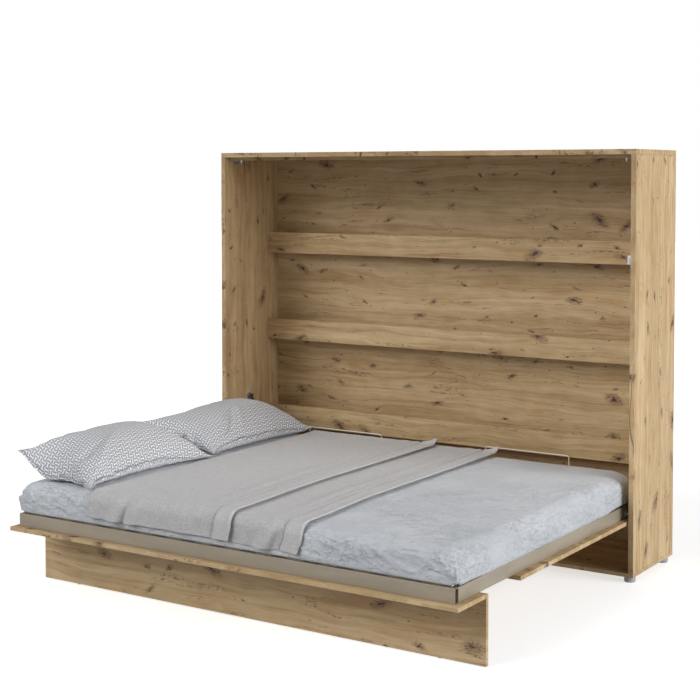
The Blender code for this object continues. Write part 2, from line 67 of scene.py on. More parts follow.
class Shader:
    """Builds one material. A value may be a number, a tuple or another node's output."""

    def __init__(self, name):
        self.material = bpy.data.materials.new(name)
        self.material.use_nodes = True
        self.tree = self.material.node_tree
        self.surface = self.tree.nodes["Principled BSDF"]
        self.place = self.add("TexCoord").outputs["Object"]

    def add(self, kind, **settings):
        node = self.tree.nodes.new("ShaderNode" + kind)
        for name, value in settings.items():
            setattr(node, name, value)
        return node

    def put(self, socket, value):
        if isinstance(value, bpy.types.NodeSocket):
            self.tree.links.new(value, socket)
        else:
            socket.default_value = value

    def set(self, **sockets):
        """Sets the surface's inputs: base_color for Base Color, and so on."""
        for name, value in sockets.items():
            title = name.replace("_", " ").title().replace("Ior", "IOR")
            self.put(self.surface.inputs[title], value)

    def math(self, operation, *values, clamp=False):
        node = self.add("Math", operation=operation, use_clamp=clamp)
        for socket, value in zip(node.inputs, values):
            self.put(socket, value)
        return node.outputs[0]

    def vector(self, operation, *values):
        node = self.add("VectorMath", operation=operation)
        for socket, value in zip(node.inputs, values):
            self.put(socket, value)
        return node.outputs[0]

    def split(self, vector):
        node = self.add("SeparateXYZ")
        self.put(node.inputs[0], vector)
        return node.outputs

    def join(self, x, y, z):
        node = self.add("CombineXYZ")
        for socket, value in zip(node.inputs, (x, y, z)):
            self.put(socket, value)
        return node.outputs[0]

    def noise(self, place, size, detail=2.0, roughness=0.5, distortion=0.0):
        """Noise from about 0.25 to 0.75 with features of this size, one number or one per axis."""
        sizes = size if isinstance(size, tuple) else (size,) * 3
        node = self.add("TexNoise")
        self.put(node.inputs["Vector"], self.vector("MULTIPLY", place, tuple(1 / s for s in sizes)))
        for name, value in (("Scale", 1.0), ("Detail", detail), ("Roughness", roughness),
                            ("Distortion", distortion)):
            node.inputs[name].default_value = value
        return node.outputs["Fac"]

    def fit(self, value, low, high, start=0.0, end=1.0, smooth=True):
        """Maps low..high to start..end."""
        node = self.add("MapRange", interpolation_type="SMOOTHSTEP" if smooth else "LINEAR")
        for name, number in (("Value", value), ("From Min", low), ("From Max", high),
                             ("To Min", start), ("To Max", end)):
            self.put(node.inputs[name], number)
        return node.outputs[0]

    def mix(self, share, a, b, blend="MIX"):
        node = self.add("Mix", data_type="RGBA", blend_type=blend)
        for socket, value in ((node.inputs[0], share), (node.inputs[6], a), (node.inputs[7], b)):
            self.put(socket, (*value, 1.0) if isinstance(value, tuple) else value)
        return node.outputs[2]

    def bump(self, *layers):
        """Each layer is a height from 0 to 1 and its depth in metres."""
        normal = None
        for height, depth in layers:
            node = self.add("Bump")
            node.inputs["Strength"].default_value = 1.0
            node.inputs["Distance"].default_value = depth
            self.put(node.inputs["Height"], height)
            if normal is not None:
                self.put(node.inputs["Normal"], normal)
            normal = node.outputs[0]
        self.put(self.surface.inputs["Normal"], normal)


# ---------------------------------------------------------------- materials

GRAIN_AXES = {"x_wall": "xzy", "x_floor": "xyz", "z_side": "zyx"}


def oak(name, lie, offset, tone=1.0, knot_share=0.5):
    """Knotty oak decor. lie is the grain's direction, and offset sets each board's own pattern."""
    s = Shader(name)
    axes = dict(zip("xyz", s.split(s.place)))
    grain = s.join(*(axes[a] for a in GRAIN_AXES[lie]))
    grain = s.vector("ADD", grain, offset)
    bend = s.noise(grain, (0.42, 0.11, 0.4), detail=2.0)
    bent = s.vector("MULTIPLY_ADD", s.join(0.0, bend, 0.0), (0.0, 0.085, 0.0), grain)

    # Knots lie one to a cell, in some of the cells, and push the grain apart around them.
    knot_cell = (0.185, 0.092, 10.0)
    in_cells = s.vector("MULTIPLY", bent, tuple(1 / c for c in knot_cell))
    cells = s.add("TexVoronoi", voronoi_dimensions="2D")
    cells.inputs["Scale"].default_value = 1.0
    s.put(cells.inputs["Vector"], in_cells)
    chance = s.split(cells.outputs["Color"])
    from_knot = s.vector("SUBTRACT", in_cells, cells.outputs["Position"])
    along, across, _ = s.split(s.vector("MULTIPLY", from_knot, knot_cell))
    slant = s.math("MULTIPLY", s.math("SUBTRACT", chance[2], 0.5), 1.1)
    across = s.math("MULTIPLY_ADD", along, slant, across)
    far = s.math("SQRT", s.math("ADD", s.math("POWER", s.math("MULTIPLY", along, 0.46), 2.0),
                                s.math("POWER", across, 2.0)))
    ragged = s.noise(bent, (0.020, 0.009, 0.05), detail=3.0, roughness=0.7)
    reach = s.math("MULTIPLY_ADD", s.math("SUBTRACT", ragged, 0.5), 0.024, far)
    is_knot = s.math("LESS_THAN", chance[0], knot_share)
    size = s.fit(s.math("POWER", chance[1], 2.6), 0.0, 1.0, 0.0018, 0.0082, smooth=False)
    core = s.math("MULTIPLY", is_knot, s.fit(reach, size, s.math("MULTIPLY", size, 0.30)))
    halo = s.math("MULTIPLY", is_knot, s.fit(reach, s.math("MULTIPLY", size, 4.0), 0.0))
    ring = s.math("SINE", s.math("MULTIPLY", reach, 2 * math.pi / 0.0048))
    ring = s.math("MULTIPLY", s.fit(ring, 0.0, 1.0), halo)
    fleck = s.fit(s.noise(bent, (0.012, 0.0045, 0.02), detail=3.0, roughness=0.6), 0.53, 0.61)
    fleck_in_halo = s.math("MULTIPLY", fleck, s.fit(halo, 0.05, 0.45))
    shove = s.math("MULTIPLY", s.math("MULTIPLY", halo, s.math("SIGN", across)), -0.011)
    bent = s.vector("ADD", bent, s.join(0.0, shove, 0.0))

    # Chains of reddish dashes strung along some of the grain lines.
    string = s.noise(bent, (0.75, 0.042, 0.2), detail=1.0)
    string = s.fit(s.math("ABSOLUTE", s.math("SUBTRACT", string, 0.5)), 0.040, 0.012)
    where = s.fit(s.noise(bent, (0.30, 0.055, 0.3), detail=2.0), 0.50, 0.60)
    dash = s.fit(s.noise(bent, (0.020, 0.0040, 0.02), detail=3.0, roughness=0.6), 0.50, 0.60)
    chain = s.math("MULTIPLY", s.math("MULTIPLY", string, dash), where)

    # Pin knots, and long splits as thin as a hair.
    pins = s.add("TexVoronoi", voronoi_dimensions="2D")
    pins.inputs["Scale"].default_value = 1.0
    s.put(pins.inputs["Vector"], s.vector("MULTIPLY", bent, (1 / 0.070, 1 / 0.036, 0.0)))
    pin_chance = s.split(pins.outputs["Color"])
    pin_size = s.fit(s.math("POWER", pin_chance[1], 2.0), 0.0, 1.0, 0.045, 0.115, smooth=False)
    pin = s.fit(pins.outputs["Distance"], pin_size, s.math("MULTIPLY", pin_size, 0.45))
    pin = s.math("MULTIPLY", pin, s.math("LESS_THAN", pin_chance[0], 0.17))
    hair = s.noise(bent, (0.62, 0.026, 0.2), detail=2.0)
    hair = s.fit(s.math("ABSOLUTE", s.math("SUBTRACT", hair, 0.5)), 0.0075, 0.001)
    torn = s.fit(s.noise(bent, (0.34, 0.05, 0.3), detail=1.0), 0.57, 0.64)
    split = s.math("MULTIPLY", hair, torn)

    plank = s.noise(bent, (2.2, 0.085, 0.5), detail=1.0)
    band = s.noise(bent, (0.80, 0.021, 0.09), detail=3.0, roughness=0.55)
    streak = s.noise(bent, (0.30, 0.0052, 0.03), detail=3.0, roughness=0.65)
    fibre = s.noise(bent, (0.040, 0.0011, 0.006), detail=2.0)
    mottle = s.noise(bent, (0.085, 0.038, 0.2), detail=2.0)
    light = s.math("MULTIPLY", plank, 0.42)
    for layer, share in ((band, 0.62), (streak, 0.46), (fibre, 0.22), (mottle, 0.26)):
        light = s.math("MULTIPLY_ADD", layer, share, light)
    light = s.fit(light, 0.76, 1.21, smooth=False)

    dark_wood, pale_wood = (0.400, 0.262, 0.122), (0.700, 0.526, 0.306)
    colour = s.mix(light, tuple(c * tone for c in dark_wood), tuple(c * tone for c in pale_wood))
    line = s.fit(s.noise(bent, (0.36, 0.0042, 0.02), detail=2.0), 0.55, 0.68, 0.0, 0.34)
    colour = s.mix(line, colour, (0.70, 0.56, 0.44), "MULTIPLY")
    cloud = s.fit(s.noise(bent, (0.26, 0.060, 0.4), detail=3.0), 0.50, 0.72, 0.0, 0.55)
    colour = s.mix(cloud, colour, (0.84, 0.70, 0.56), "MULTIPLY")
    for share, amount, stain in (
            (halo, 0.66, (0.205, 0.110, 0.066)), (ring, 0.35, (0.120, 0.060, 0.042)),
            (chain, 0.82, (0.185, 0.085, 0.044)), (split, 0.75, (0.140, 0.074, 0.046)),
            (fleck_in_halo, 0.80, (0.092, 0.046, 0.036)), (pin, 0.85, (0.090, 0.045, 0.036)),
            (core, 0.92, (0.056, 0.029, 0.026))):
        colour = s.mix(s.math("MULTIPLY", share, amount), colour, stain)
    s.set(base_color=colour, roughness=s.fit(streak, 0.3, 0.7, 0.52, 0.66),
          specular_ior_level=0.28)
    dents = s.math("MAXIMUM", core, s.math("MULTIPLY", split, 0.7))
    s.bump((fibre, 0.00014), (streak, 0.00022), (dents, -0.0004))
    return s.material


def powder_coat(name, dark, pale, roughness, metallic, peel=0.00006):
    """Paint baked on steel: a fine orange peel, a slight drift of tone and a faint fine grit."""
    s = Shader(name)
    drift = s.noise(s.place, (0.24, 0.16, 0.05), detail=3.0)
    grit = s.noise(s.place, 0.0016, detail=2.0)
    tone = s.math("ADD", s.math("MULTIPLY", drift, 0.7), s.math("MULTIPLY", grit, 0.3))
    s.set(base_color=s.mix(s.fit(tone, 0.36, 0.64), dark, pale), metallic=metallic,
          roughness=s.fit(drift, 0.3, 0.7, roughness - 0.05, roughness + 0.06))
    s.bump((s.noise(s.place, 0.0022, detail=2.0), peel))
    return s.material


def zinc_plate(name):
    """Bright zinc with its faint grey-blue clouding and rolling marks."""
    s = Shader(name)
    cloud = s.noise(s.place, 0.014, detail=4.0, roughness=0.65)
    rolled = s.noise(s.place, (0.0009, 0.02, 0.02), detail=2.0)
    tone = s.math("ADD", s.math("MULTIPLY", cloud, 0.75), s.math("MULTIPLY", rolled, 0.25))
    s.set(base_color=s.mix(s.fit(tone, 0.38, 0.62), (0.42, 0.44, 0.47), (0.74, 0.75, 0.77)),
          metallic=0.9, roughness=s.fit(cloud, 0.35, 0.65, 0.30, 0.48))
    s.bump((rolled, 0.00003))
    return s.material


def moulded(name, dark, pale, roughness, grain_size, depth):
    """Moulded plastic or rubber with a spark-eroded texture and slight flow marks."""
    s = Shader(name)
    grain = s.noise(s.place, grain_size, detail=2.0)
    flow = s.noise(s.place, (0.03, 0.03, 0.008), detail=2.0, distortion=0.6)
    tone = s.math("ADD", s.math("MULTIPLY", grain, 0.5), s.math("MULTIPLY", flow, 0.5))
    s.set(base_color=s.mix(s.fit(tone, 0.36, 0.64), dark, pale),
          roughness=s.fit(flow, 0.35, 0.65, roughness - 0.05, roughness + 0.07))
    s.bump((grain, depth))
    return s.material


def birch_slats(name, tape_places, tape_width):
    """Bent birch slats across the bed, under white woven tapes at the given Y."""
    s = Shader(name)
    x, y, _ = s.split(s.place)
    grain = s.join(y, x, 0.0)
    band = s.noise(grain, (0.35, 0.010, 1.0), detail=3.0)
    slat = s.noise(grain, (9.0, 0.10, 1.0), detail=0.0)
    fibre = s.noise(grain, (0.03, 0.0012, 1.0), detail=2.0)
    light = s.math("ADD", s.math("MULTIPLY", band, 0.6), s.math("MULTIPLY", slat, 0.4))
    wood = s.mix(s.fit(light, 0.35, 0.65), (0.60, 0.43, 0.25), (0.80, 0.66, 0.46))
    wood = s.mix(s.fit(fibre, 0.45, 0.62, 0.0, 0.35), wood, (0.50, 0.34, 0.19))
    threads = s.noise(s.place, (0.004, 0.0007, 1.0), detail=1.0)
    tape = s.mix(s.fit(threads, 0.35, 0.65), (0.66, 0.65, 0.61), (0.86, 0.85, 0.81))
    on_tape = 0.0
    for place in tape_places:
        off = s.math("ABSOLUTE", s.math("SUBTRACT", y, place))
        on_tape = s.math("ADD", s.math("LESS_THAN", off, tape_width / 2), on_tape)
    s.set(base_color=s.mix(on_tape, wood, tape), roughness=s.fit(band, 0.3, 0.7, 0.50, 0.66))
    s.bump((fibre, 0.00008), (threads, 0.00006))
    return s.material


def cotton_sheet(name):
    """Washed pale cotton: tiny crinkles all over with painted highlights on their ridges, fine threads and
    a soft sheen.
    """
    s = Shader(name)
    wander = s.noise(s.place, 0.11, detail=2.0)
    place = s.vector("MULTIPLY_ADD", s.join(wander, wander, wander), (0.06, 0.05, 0.03), s.place)
    crease = s.noise(place, (0.036, 0.026, 0.020), detail=4.0, roughness=0.62)
    ridge = s.math("ABSOLUTE", s.math("SUBTRACT", crease, 0.5))
    sharp = s.fit(ridge, 0.0, 0.055, 1.0, 0.0)
    where = s.fit(s.noise(s.place, (0.30, 0.22, 0.10), detail=1.0), 0.44, 0.62, 0.25, 1.0)
    warp = s.noise(s.place, (0.0006, 0.012, 0.012), detail=1.0)
    weft = s.noise(s.place, (0.012, 0.0006, 0.0006), detail=1.0)
    thread = s.math("MULTIPLY", s.math("ADD", warp, weft), 0.5)
    shade = s.noise(s.place, (0.35, 0.28, 0.12), detail=3.0)
    colour = s.mix(s.fit(shade, 0.35, 0.65), (0.600, 0.632, 0.678), (0.680, 0.706, 0.746))
    colour = s.mix(s.fit(thread, 0.40, 0.60, 0.0, 0.20), colour, (0.52, 0.555, 0.62))
    # Paler along the sharp crease ridges: a painted highlight where the creases catch the light.
    colour = s.mix(s.math("MULTIPLY", s.math("MULTIPLY", sharp, where), 0.16), colour,
                   (0.90, 0.92, 0.95))
    s.set(base_color=colour, roughness=s.fit(shade, 0.3, 0.7, 0.80, 0.92), sheen_weight=0.18,
          sheen_roughness=0.5, specular_ior_level=0.22)
    fine = s.noise(place, (0.013, 0.010, 0.010), detail=3.0, roughness=0.6)
    s.bump((s.math("MULTIPLY", sharp, where), 0.0012), (crease, 0.0085), (fine, 0.0030),
           (thread, 0.00010))
    return s.material


def linen(name, width):
    """Grey plain weave with slubs: threads of uneven thickness both ways, some paler, some darker.

    The broad hem on the right has a painted highlight, a little paler, and stitches in painted shade along
    its inner edge.
    """
    s = Shader(name)
    uv = s.add("UVMap", uv_map="flat").outputs[0]
    u, v, _ = s.split(uv)
    pitch, stitch = 0.0021, 0.004
    wobble = s.noise(uv, (0.02, 0.02, 1.0), detail=2.0)
    u_bent = s.math("MULTIPLY_ADD", wobble, 0.0022, u)
    v_bent = s.math("MULTIPLY_ADD", wobble, 0.0018, v)
    warp = s.math("SINE", s.math("MULTIPLY", u_bent, 2 * math.pi / pitch))
    weft = s.math("SINE", s.math("MULTIPLY", v_bent, 2 * math.pi / pitch))
    woven = s.fit(s.math("MULTIPLY", warp, weft), -1.0, 1.0, smooth=False)
    slub_u = s.noise(uv, (0.0016, 0.055, 1.0), detail=2.0, roughness=0.6)
    slub_v = s.noise(uv, (0.055, 0.0016, 1.0), detail=2.0, roughness=0.6)
    slub = s.math("MULTIPLY", s.math("ADD", slub_u, slub_v), 0.5)
    heather = s.noise(uv, 0.0065, detail=3.0, roughness=0.7)
    cloud = s.noise(uv, (0.22, 0.30, 1.0), detail=2.0)
    light = s.math("ADD", s.math("MULTIPLY", slub, 0.55), s.math("MULTIPLY", heather, 0.45))
    colour = s.mix(s.fit(light, 0.40, 0.60), (0.440, 0.436, 0.446), (0.650, 0.645, 0.650))
    colour = s.mix(s.fit(cloud, 0.35, 0.65, 0.0, 0.10), colour, (0.66, 0.65, 0.65))
    colour = s.mix(s.fit(woven, 0.35, 0.0, 0.0, 0.22), colour, (0.25, 0.245, 0.255))
    from_right = s.math("SUBTRACT", width, u)
    # The broad hem is painted a little paler: a painted highlight on its raised strip.
    painted_hem_highlight = s.fit(from_right, THROW_HEM, THROW_HEM - 0.003, 0.0, 0.16)
    colour = s.mix(painted_hem_highlight, colour, (0.80, 0.79, 0.79))
    # A dark line along the hem's inner edge: the stitches, plus painted shade in the groove they sew.
    seam = s.fit(s.math("ABSOLUTE", s.math("SUBTRACT", from_right, THROW_HEM)), 0.0062, 0.0012)
    sewn = s.fit(s.math("SINE", s.math("MULTIPLY", v, 2 * math.pi / stitch)), -0.2, 0.6, 0.50, 0.75)
    colour = s.mix(s.math("MULTIPLY", seam, sewn), colour, (0.17, 0.165, 0.17))
    s.set(base_color=colour, roughness=s.fit(slub, 0.35, 0.65, 0.84, 0.96), sheen_weight=0.25,
          sheen_roughness=0.6, specular_ior_level=0.18)
    crumple = s.noise(uv, (0.050, 0.034, 1.0), detail=3.0, roughness=0.55)
    s.bump((crumple, 0.0022), (woven, 0.00030), (slub, 0.00035))
    return s.material


def printed_cotton(name):
    """Grey pillowcase cotton printed with white I shapes that interlock, every other one turned."""
    s = Shader(name)
    uv = s.add("UVMap", uv_map="flat").outputs[0]
    cell, half_line = 0.0215, 0.092
    scaled = s.vector("MULTIPLY", uv, (1 / cell, 1 / cell, 0.0))
    u, v, _ = s.split(scaled)
    column, row = s.math("FLOOR", u), s.math("FLOOR", v)
    a = s.math("SUBTRACT", s.math("SUBTRACT", u, column), 0.5)
    b = s.math("SUBTRACT", s.math("SUBTRACT", v, row), 0.5)
    odd = s.math("PINGPONG", s.math("ADD", column, row), 1.0)

    def letter(x, y):
        """1 on an I with its stem along y that reaches into the next cells, 0 off it."""
        x, y = s.math("ABSOLUTE", x), s.math("ABSOLUTE", y)
        stem = s.math("MULTIPLY", s.fit(x, half_line + 0.05, half_line - 0.02),
                      s.math("LESS_THAN", y, 0.62))
        serif = s.math("MULTIPLY",
                       s.fit(s.math("ABSOLUTE", s.math("SUBTRACT", y, 0.47)),
                             half_line + 0.05, half_line - 0.02),
                       s.math("LESS_THAN", x, 0.36))
        return s.math("MAXIMUM", stem, serif)

    upright, turned = letter(a, b), letter(b, a)
    own = s.add("Mix", data_type="FLOAT")
    for socket, value in zip((own.inputs[0], own.inputs[2], own.inputs[3]), (odd, upright, turned)):
        s.put(socket, value)
    print_edge = s.noise(uv, 0.0011, detail=2.0)
    white = s.math("MULTIPLY", own.outputs[0], s.fit(print_edge, 0.28, 0.44, 0.80, 1.0))
    warp = s.noise(uv, (0.0006, 0.010, 1.0), detail=1.0)
    weft = s.noise(uv, (0.010, 0.0006, 1.0), detail=1.0)
    thread = s.math("MULTIPLY", s.math("ADD", warp, weft), 0.5)
    grey = s.mix(s.fit(thread, 0.38, 0.62), (0.290, 0.300, 0.330), (0.385, 0.395, 0.430))
    colour = s.mix(white, grey, (0.880, 0.885, 0.905))
    s.set(base_color=colour, roughness=s.fit(thread, 0.35, 0.65, 0.76, 0.90), sheen_weight=0.15,
          sheen_roughness=0.5, specular_ior_level=0.22)
    s.bump((s.noise(s.place, (0.030, 0.022, 0.022), detail=3.0), 0.0018), (thread, 0.00010))
    return s.material


def paint_cad_nodes():
    """Finishes the listed boards by name and other CAD nodes by their slot. Each board has its grain's
    lie, offset, tone and knot share.
    """
    boards = {
        "side_panel_right": ("z_side", (0.31, 2.07, 0.0), 1.05, 0.36),
        "side_panel_left": ("z_side", (4.12, 5.33, 0.0), 0.98, 0.50),
        "top_panel": ("x_floor", (7.7, 1.9, 0.0), 1.03, 0.45),
        "bottom_panel": ("x_floor", (2.2, 8.4, 0.0), 0.97, 0.45),
        "back_board_1": ("x_wall", (1.3, 3.31, 0.0), 0.97, 0.50),
        "back_board_2": ("x_wall", (5.9, 7.73, 0.0), 0.98, 0.52),
        "back_board_3": ("x_wall", (9.1, 2.15, 0.0), 0.99, 0.52),
        "back_board_4": ("x_wall", (3.6, 6.02, 0.0), 0.99, 0.52),
        "rear_rail_lower": ("x_wall", (6.4, 4.47, 0.0), 1.04, 0.50),
        "rear_rail_middle": ("x_wall", (8.3, 9.21, 0.0), 1.04, 0.50),
        "rear_rail_upper": ("x_wall", (2.9, 7.55, 0.0), 1.05, 0.50),
        "floor_rail": ("x_wall", (4.6, 1.12, 0.0), 1.00, 0.40),
        "stop_strip": ("x_wall", (3.3, 5.81, 0.0), 1.00, 0.30),
        "front_board": ("x_floor", (5.2, 3.64, 0.0), 1.02, 0.40),
        "rear_board": ("x_floor", (1.8, 6.37, 0.0), 1.02, 0.45),
        "leg_panel": ("x_wall", (7.4, 8.26, 0.0), 1.02, 0.50),
    }
    finishes = {name: oak(f"oak_{name}", *facts) for name, facts in boards.items()}
    mat_low, mat_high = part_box("slat_mat_right")
    tapes = [mat_low.y + share * (mat_high.y - mat_low.y) for share in TAPE_SHARES]
    by_slot = {
        "frame_paint": powder_coat("frame_paint", (0.300, 0.255, 0.190), (0.365, 0.312, 0.238),
                                   0.42, 0.15),
        "zinc": zinc_plate("zinc"),
        "dark_steel": powder_coat("dark_steel", (0.030, 0.030, 0.033), (0.055, 0.055, 0.060),
                                  0.36, 0.0),
        "cream_wire": powder_coat("cream_wire", (0.70, 0.66, 0.57), (0.80, 0.77, 0.69), 0.38, 0.0),
        "grey_plastic": moulded("grey_plastic", (0.36, 0.37, 0.39), (0.50, 0.51, 0.53), 0.52,
                                0.0012, 0.00006),
        "rubber": moulded("rubber", (0.025, 0.025, 0.026), (0.055, 0.055, 0.057), 0.78,
                          0.0018, 0.00012),
        "birch": birch_slats("birch", tapes, TAPE_WIDTH),
    }
    slots = {part["node"]: part["material_slot"] for part in frame["record"]["subparts"]}
    for name, node in NODES.items():
        finish = finishes.get(name) or by_slot.get(slots[name])
        if finish:
            node.data.materials.clear()
            node.data.materials.append(finish)


# ---------------------------------------------------------------- shapes in numbers

def cell_value(cells, seed):
    """A repeatable number from -1 to 1 for each whole-number cell."""
    mixed = cells @ np.array([73856093, 19349663, 83492791]) + seed * 374761393
    mixed = (mixed ^ (mixed >> 13)) * 1274126177
    return ((mixed ^ (mixed >> 16)) & 0xFFFFFF) / 0x7FFFFF - 1.0


def noise(points, size, seed, octaves=1):
    """Smooth noise from about -1 to 1 with features of this size, one number or one per axis."""
    total, share = np.zeros(len(points)), 1.0
    for octave in range(octaves):
        place = points / (np.asarray(size) / 2 ** octave) + 17.3 * seed
        cell = np.floor(place).astype(np.int64)
        part = place - cell
        part = part ** 3 * (part * (part * 6 - 15) + 10)
        for corner in np.ndindex(2, 2, 2):
            weight = np.prod(np.where(np.array(corner) == 1, part, 1 - part), axis=1)
            total += share * weight * cell_value(cell + corner, seed + 101 * octave)
        share *= 0.5
    return total


def creases(points, size, seed, octaves=2):
    """Like noise, from 0 to 1, with sharp ridges and broad hollows between them, as in pulled cloth."""
    return 1.0 - np.sqrt(np.minimum(np.abs(noise(points, size, seed, octaves)) * 1.6, 1.0))


def ease(value, low, high):
    """0 below low, 1 above high, and a smooth step between them."""
    share = np.clip((value - low) / (high - low), 0.0, 1.0)
    return share * share * (3 - 2 * share)


def bell(value, middle, width):
    return np.exp(-(((value - middle) / width) ** 2))


def box_grid(xs, ys, zs):
    """A closed box with a grid on each face: its points, its quads and the index of each grid place."""
    index = np.full((len(xs), len(ys), len(zs)), -1)
    i, j, k = np.indices(index.shape)
    outer = ((i % (len(xs) - 1) == 0) | (j % (len(ys) - 1) == 0) | (k % (len(zs) - 1) == 0))
    index[outer] = np.arange(outer.sum())
    points = np.stack([xs[i[outer]], ys[j[outer]], zs[k[outer]]], axis=1)
    quads = []
    for grid, turned in ((index[0], True), (index[-1], False), (index[:, 0], False),
                         (index[:, -1], True), (index[:, :, 0], True), (index[:, :, -1], False)):
        face = np.stack([grid[:-1, :-1], grid[1:, :-1], grid[1:, 1:], grid[:-1, 1:]], axis=-1)
        face = face.reshape(-1, 4)
        quads.append(face[:, ::-1] if turned else face)
    return points, np.concatenate(quads), index


def spaced(low, high, step, margin, fine):
    """Places from low to high: fine steps within margin of both ends and wider ones between."""
    count = max(2, round(margin / fine))
    start = np.linspace(low, low + margin, count, endpoint=False)
    middle = np.linspace(low + margin, high - margin, max(2, round((high - low - 2 * margin) / step)))
    return np.concatenate([start, middle, (low + high - start)[::-1]])


def rounded(points, low, high, radius):
    """Pulls the points of a box from low to high onto edges rounded to radius, one number per axis."""
    inner = np.clip(points, low + radius, high - radius)
    out = (points - inner) / radius
    length = np.linalg.norm(out, axis=1, keepdims=True)
    return inner + out / np.maximum(length, 1e-9) * radius


def add_mesh(name, points, quads, material, flat=None):
    """A smooth mesh object. flat gives each point's place on the flat cloth, kept as a UV map."""
    mesh = bpy.data.meshes.new(name)
    mesh.from_pydata(points.tolist(), [], quads.tolist())
    if flat is not None:
        layer = mesh.uv_layers.new(name="flat")
        corners = np.empty(len(mesh.loops), np.int32)
        mesh.loops.foreach_get("vertex_index", corners)
        layer.data.foreach_set("uv", flat[corners].astype(np.float32).ravel())
    mesh.shade_smooth()
    if material:
        mesh.materials.append(material)
    piece = bpy.data.objects.new(name, mesh)
    SCENE.collection.objects.link(piece)
    return piece


def add_modifier(piece, kind, **settings):
    modifier = piece.modifiers.new(kind.lower(), kind)
    for name, value in settings.items():
        setattr(modifier, name, value)


# ---------------------------------------------------------------- mattress

MATTRESS_LOW, MATTRESS_HIGH = (np.array(corner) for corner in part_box("mattress"))
TOP_Z = MATTRESS_HIGH[2]
FRONT_Y = MATTRESS_LOW[1]
BACK_Y = MATTRESS_HIGH[1]
EDGE_RADIUS = np.array([0.042, 0.040, 0.046])
SHEET_HEM = 0.0115


def make_mattress():
    """The foam mattress in its fitted sheet: soft edges, bulging sides and a crinkled top."""
    low, high = MATTRESS_LOW, MATTRESS_HIGH
    wide, fine_step, margin = 0.0095, 0.0042, 0.09
    points, quads, _ = box_grid(spaced(low[0], high[0], wide, margin, fine_step),
                                spaced(low[1], high[1], wide, margin, fine_step),
                                spaced(low[2], high[2], 0.0050, margin / 2, fine_step))
    # The lower edges are tighter than the upper ones, and the two corners by the wall are rounder.
    lower = points[:, 2] < (low[2] + high[2]) / 2
    radius = np.where(lower[:, None], (0.014, 0.014, 0.010), EDGE_RADIUS)
    radius[:, :2] += 0.085 * ease(points[:, 1:2], high[1] - 0.34, high[1] - 0.17)
    radius[:, :2] += 0.020 * (1 - ease(points[:, 1:2], low[1] + 0.10, low[1] + 0.22))
    points = rounded(points, low, high, radius)
    x, y, z = points.T
    height = (z - low[2]) / (high[2] - low[2])
    belly = np.sin(np.pi * np.clip(height * 1.02, 0, 1)) ** 0.8

    # Each of these is 1 on its side of the mattress and fades to 0 over this distance.
    fade = 0.05
    to_end = 1.0 - np.minimum(high[0] - np.abs(x), fade) / fade
    to_front = 1.0 - np.minimum(y - low[1], fade) / fade
    to_back = 1.0 - np.minimum(high[1] - y, fade) / fade
    side = np.sign(x)
    # The struts stand beside the last stretch of the mattress, and the throws hang over its front.
    free_end = to_end * (1.0 - ease(y, BACK_Y - 0.52, BACK_Y - 0.44))
    bare_front = to_front * (ease(x, 0.33, 0.42) + 1.0 - ease(x, -0.70, -0.62))

    upright = creases(points, (0.2, 0.026, 0.30), 11, 2)
    slanted = points + np.stack([z * 1.1, z * 0.6, z * 0.0], axis=1)
    pulled = creases(slanted, (0.060, 0.060, 0.080), 21, 3)
    top_edge = creases(points, (0.095, 0.095, 0.0125), 31, 2)
    fine = creases(slanted, (0.021, 0.021, 0.024), 35, 2)
    small = noise(points, 0.032, 22, 2)
    x = x + side * free_end * belly * (0.0090 + 0.0034 * pulled + 0.0036 * upright + 0.0012 * small)
    y = y - bare_front * belly * (0.0020 + 0.0088 * pulled + 0.0038 * fine + 0.0024 * small)
    y = y - to_front * belly * 0.0012 + to_back * belly * 0.0012 * small

    # Small creases along the upper edge, where the sheet turns down.
    turn = bell(height, 0.84, 0.17)
    y = y - bare_front * turn * 0.0085 * (top_edge - 0.5)
    x = x + side * free_end * turn * (0.0060 * (top_edge - 0.5) + 0.0040 * (fine - 0.5))

    # Each corner of the sheet has a stitched ridge, with tucks beside it.
    from_corner = np.hypot(high[0] - np.abs(x), y - low[1])
    corner = bell(high[0] - np.abs(x) - (y - low[1]), 0.0, 0.0045) * bell(from_corner, 0.0, 0.03)
    seam_height = 0.0060
    x = x + side * corner * seam_height * to_end
    y = y - corner * seam_height * to_front
    tuck = bell(from_corner, 0.070, 0.050) * (creases(slanted, (0.042, 0.042, 0.030), 51, 2) - 0.3)
    y = y - bare_front * tuck * 0.0100 * belly
    x = x + side * free_end * tuck * 0.0080 * belly

    on_top = ease(height, 0.86, 1.0)
    crinkle = creases(points, (0.090, 0.042, 1.0), 61, 3)
    crinkle += 0.5 * creases(points, (0.030, 0.022, 1.0), 63, 2)
    z = z + on_top * (0.0026 * crinkle + 0.0008 * small - 0.0036)
    z = z - 0.005 * on_top * bell(from_corner, 0.0, 0.06)

    # The sheet's elastic hem hides the slats' ends: it hangs just below the mattress, all round.
    inset = np.minimum(high[0] - np.abs(points[:, 0]), np.minimum(y - low[1], high[1] - y))
    hem = (1.0 - ease(inset, 0.0055, 0.0080)) * (1.0 - ease(height, 0.02, 0.14))
    z = z - SHEET_HEM * hem
    mattress = add_mesh("mattress_in_sheet", np.stack([x, y, z], axis=1), quads,
                        cotton_sheet("cotton_sheet"))
    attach(mattress, "bed")
    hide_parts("mattress")


# ---------------------------------------------------------------- throws

THROW_BACK = BACK_Y - 0.024


